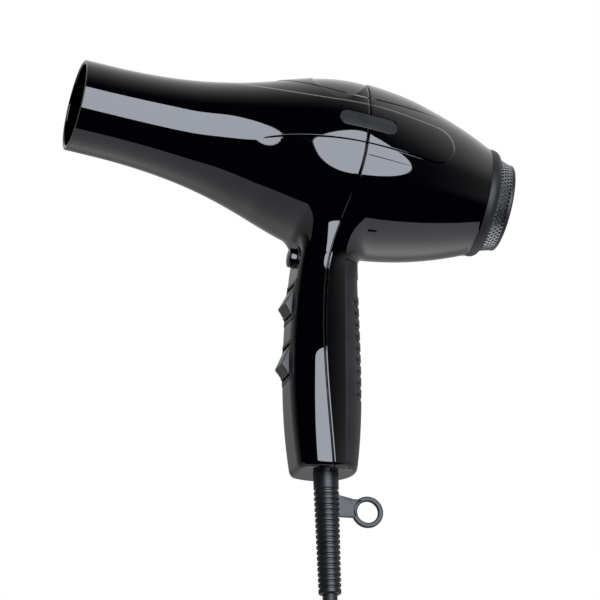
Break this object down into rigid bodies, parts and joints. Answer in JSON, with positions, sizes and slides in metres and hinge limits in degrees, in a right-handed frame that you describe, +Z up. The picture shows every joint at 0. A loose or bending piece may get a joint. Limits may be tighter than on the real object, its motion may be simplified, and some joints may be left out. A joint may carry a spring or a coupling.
{
  "type": "hair dryer",
  "caption": "Hand-held hair dryer with a tapered nozzle, two rocker switches, a cool-shot button, a pull-off rear filter and a ribbed cord guard with a hanging eye.",
  "frame": {"origin": "middle of the hand grip, on the handle's centre line", "axes": "+Z up the handle, +X to the rear of the dryer, away from the nozzle, +Y across the width"},
  "size_m": [0.234, 0.0912, 0.4503],
  "materials": {
    "gloss_black": "piano-black gloss",
    "satin_black": "satin moulded",
    "matte_black": "fine matte",
    "badge_grey": "fine-grained grey",
    "guard_rubber": "satin rubber",
    "cord_rubber": "satin cord jacket",
    "steel_mesh": "perforated steel",
    "zinc_steel": "plated steel",
    "mica": "pressed mica sheet",
    "nichrome": "drawn resistance ribbon",
    "brass": "stamped",
    "copper": "drawn copper",
    "nylon_dark": "glass-filled nylon",
    "iron_core": "stacked laminations",
    "magnet": "sintered ferrite",
    "carbon": "pressed carbon"
  },
  "bodies": {
    "housing": {"front_housing": "gloss_black", "rear_housing": "gloss_black", "left_badge_inset": "badge_grey", "right_badge_inset": "badge_grey", "grip_strip": "satin_black", "nozzle_grille": "matte_black", "mica_tube": "mica", "mica_card_upright": "mica", "mica_card_level": "mica", "heating_coil": "nichrome", "thermostat": "brass", "air_guide": "nylon_dark", "motor_can": "zinc_steel", "motor_end_cap": "nylon_dark", "front_bearing": "brass", "rear_bearing": "brass", "motor_magnets": "magnet", "motor_brushes": "carbon", "handle_screws": "zinc_steel", "speed_bezel": "matte_black", "heat_bezel": "matte_black", "speed_switch_body": "nylon_dark", "heat_switch_body": "nylon_dark", "switch_terminals": "brass", "cool_shot_collar": "matte_black", "cool_shot_switch": "nylon_dark", "cool_shot_spring": "zinc_steel", "cord_guard": "guard_rubber", "cord_clamp": "nylon_dark", "cord_inner_run": "cord_rubber", "cord_lead": "cord_rubber", "cord_coil": "cord_rubber", "cord_tie": "matte_black", "plug_body": "guard_rubber", "plug_pins": "brass"},
    "fan_rotor": {"motor_shaft": "zinc_steel", "armature": "iron_core", "commutator": "copper", "fan": "nylon_dark"},
    "rear_filter": {"filter_ring": "matte_black", "filter_band": "steel_mesh", "filter_rim": "gloss_black", "filter_end_mesh": "steel_mesh"},
    "speed_switch": {"speed_rocker": "satin_black"},
    "heat_switch": {"heat_rocker": "satin_black"},
    "cool_shot": {"cool_shot_button": "gloss_black"}
  },
  "joints": [
    {"name": "fan_spin", "type": "hinge", "parent": "housing", "child": "fan_rotor", "pos_m": [0.03832, 0, 0.10761], "axis": [0.9851, 0, -0.1719], "continuous": true},
    {"name": "filter_pull", "type": "slide", "parent": "housing", "child": "rear_filter", "axis": [0.9851, 0, -0.1719], "range_m": [0, 0.03]},
    {"name": "speed_rock", "type": "hinge", "parent": "housing", "child": "speed_switch", "pos_m": [-0.01115, 0, 0.03895], "axis": [0, 1, 0], "range_deg": [-9, 9]},
    {"name": "heat_rock", "type": "hinge", "parent": "housing", "child": "heat_switch", "pos_m": [-0.01298, 0, 0.00794], "axis": [0, 1, 0], "range_deg": [-9, 9]},
    {"name": "cool_press", "type": "slide", "parent": "housing", "child": "cool_shot", "axis": [0.9962, 0, -0.0872], "range_m": [0, 0.002], "stiffness_N_per_m": 600, "springref_m": -0.001, "deforming": ["cool_shot_spring"]}
  ]
}
